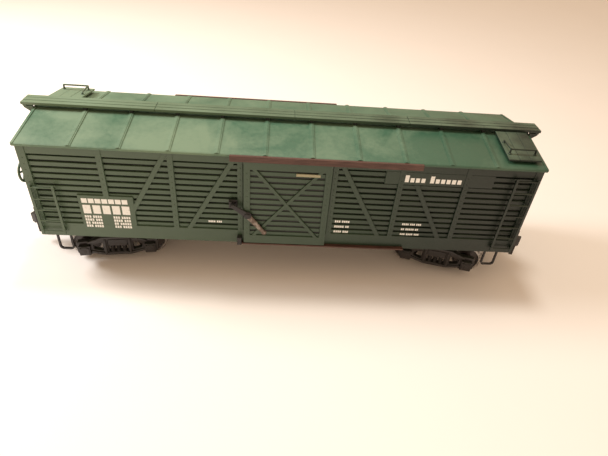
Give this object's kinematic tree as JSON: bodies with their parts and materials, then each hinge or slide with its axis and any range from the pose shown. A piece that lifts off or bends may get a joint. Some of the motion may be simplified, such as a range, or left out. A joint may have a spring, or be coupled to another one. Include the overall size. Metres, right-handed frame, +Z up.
{
  "type": "model box car",
  "caption": "HO scale model box car with slatted outside-braced walls, sliding doors, roof walk, hand brake wheel, swivelling trucks and horn-hook couplers.",
  "frame": {"origin": "middle of the car on the plane that the lowest points of the wheel flanges stand on", "axes": "+X along the car towards the A end, -X towards the B end with the hand brake, +Z up, -Y the right side with the pictured door"},
  "size_m": [0.1586, 0.0396, 0.0475],
  "materials": {
    "body_green": "moulded polystyrene, satin, grey-green",
    "roof_green": "moulded polystyrene, satin, blue-green with pale dust patches",
    "track_brown": "pressed strip, matt red-brown paint",
    "fittings_black": "moulded plastic, matt black",
    "truck_black": "moulded acetal, satin black-brown",
    "wheel_brown": "moulded plastic wheels, satin grey-brown, tread rubbed bright",
    "lever_brown": "pressed lever, worn grey-brown",
    "bare_steel": "plain steel",
    "card_cream": "printed cream card board, matt",
    "floor_tan": "moulded plank floor, matt brown"
  },
  "bodies": {
    "car_body": {"side_right": "body_green", "side_left": "body_green", "end_a": "body_green", "end_b": "body_green", "running_board": "body_green", "running_board_brackets": "body_green", "lateral_platform_a": "body_green", "lateral_platform_b": "body_green", "corner_grab_irons": "body_green", "side_ladder_right": "body_green", "side_ladder_left": "body_green", "short_ladder_right": "body_green", "short_ladder_left": "body_green", "end_ladder_a": "body_green", "end_ladder_b": "body_green", "brake_housing": "body_green", "roof": "roof_green", "upper_track_right": "track_brown", "upper_track_left": "track_brown", "lower_track_right": "track_brown", "lower_track_left": "track_brown", "underframe": "fittings_black", "door_stops": "fittings_black", "latch_keepers": "fittings_black", "sill_steps": "fittings_black", "brake_cylinder": "fittings_black", "air_reservoir": "fittings_black", "control_valve": "fittings_black", "weight": "bare_steel", "kingpins": "bare_steel", "floor": "floor_tan"},
    "door_right": {"door_right": "body_green", "card_board_right": "card_cream", "lever_pin_right": "fittings_black"},
    "door_left": {"door_left": "body_green", "card_board_left": "card_cream", "lever_pin_left": "fittings_black"},
    "door_lever_right": {"door_lever_right": "lever_brown"},
    "door_lever_left": {"door_lever_left": "lever_brown"},
    "brake_wheel": {"brake_wheel": "body_green"},
    "truck_a": {"truck_a_bolster": "truck_black", "truck_a_sideframe_right": "truck_black", "truck_a_sideframe_left": "truck_black", "truck_a_coupler_lid": "truck_black"},
    "coupler_a": {"coupler_a": "truck_black"},
    "wheelset_a1": {"axle_a1": "bare_steel", "wheels_a1": "wheel_brown"},
    "wheelset_a2": {"axle_a2": "bare_steel", "wheels_a2": "wheel_brown"},
    "truck_b": {"truck_b_bolster": "truck_black", "truck_b_sideframe_right": "truck_black", "truck_b_sideframe_left": "truck_black", "truck_b_coupler_lid": "truck_black"},
    "coupler_b": {"coupler_b": "truck_black"},
    "wheelset_b1": {"axle_b1": "bare_steel", "wheels_b1": "wheel_brown"},
    "wheelset_b2": {"axle_b2": "bare_steel", "wheels_b2": "wheel_brown"}
  },
  "joints": [
    {"name": "door_right_slide", "type": "slide", "parent": "car_body", "child": "door_right", "axis": [1, 0, 0], "range_m": [0, 0.0235]},
    {"name": "lever_right_turn", "type": "hinge", "parent": "door_right", "child": "door_lever_right", "pos_m": [-0.01085, -0.019, 0.0243], "axis": [0, -1, 0], "range_deg": [0, 60]},
    {"name": "door_left_slide", "type": "slide", "parent": "car_body", "child": "door_left", "axis": [-1, 0, 0], "range_m": [0, 0.0235]},
    {"name": "lever_left_turn", "type": "hinge", "parent": "door_left", "child": "door_lever_left", "pos_m": [0.01085, 0.019, 0.0243], "axis": [0, 1, 0], "range_deg": [0, 60]},
    {"name": "brake_wheel_turn", "type": "hinge", "parent": "car_body", "child": "brake_wheel", "pos_m": [-0.0738, -0.0108, 0.0306], "axis": [-1, 0, 0], "continuous": true},
    {"name": "truck_a_swivel", "type": "hinge", "parent": "car_body", "child": "truck_a", "pos_m": [0.053, 0, 0.0095], "axis": [0, 0, 1], "range_deg": [-5.5, 34.5]},
    {"name": "coupler_a_swing", "type": "hinge", "parent": "truck_a", "child": "coupler_a", "pos_m": [0.06907, -0.00416, 0.0105], "axis": [0, 0, 1], "range_deg": [-8, 8], "stiffness_Nm_per_rad": 0.001},
    {"name": "wheelset_a1_roll", "type": "hinge", "parent": "truck_a", "child": "wheelset_a1", "pos_m": [0.06234, -0.00242, 0.00545], "axis": [0.2504, 0.9681, 0], "continuous": true},
    {"name": "wheelset_a2_roll", "type": "hinge", "parent": "truck_a", "child": "wheelset_a2", "pos_m": [0.04366, 0.00242, 0.00545], "axis": [0.2504, 0.9681, 0], "continuous": true},
    {"name": "truck_b_swivel", "type": "hinge", "parent": "car_body", "child": "truck_b", "pos_m": [-0.053, 0, 0.0095], "axis": [0, 0, 1], "range_deg": [-28, 12]},
    {"name": "coupler_b_swing", "type": "hinge", "parent": "truck_b", "child": "coupler_b", "pos_m": [-0.06944, -0.00231, 0.0105], "axis": [0, 0, 1], "range_deg": [-8, 8], "stiffness_Nm_per_rad": 0.001},
    {"name": "wheelset_b1_roll", "type": "hinge", "parent": "truck_b", "child": "wheelset_b1", "pos_m": [-0.06256, -0.00134, 0.00545], "axis": [-0.1392, 0.9903, 0], "continuous": true},
    {"name": "wheelset_b2_roll", "type": "hinge", "parent": "truck_b", "child": "wheelset_b2", "pos_m": [-0.04344, 0.00134, 0.00545], "axis": [-0.1392, 0.9903, 0], "continuous": true}
  ]
}
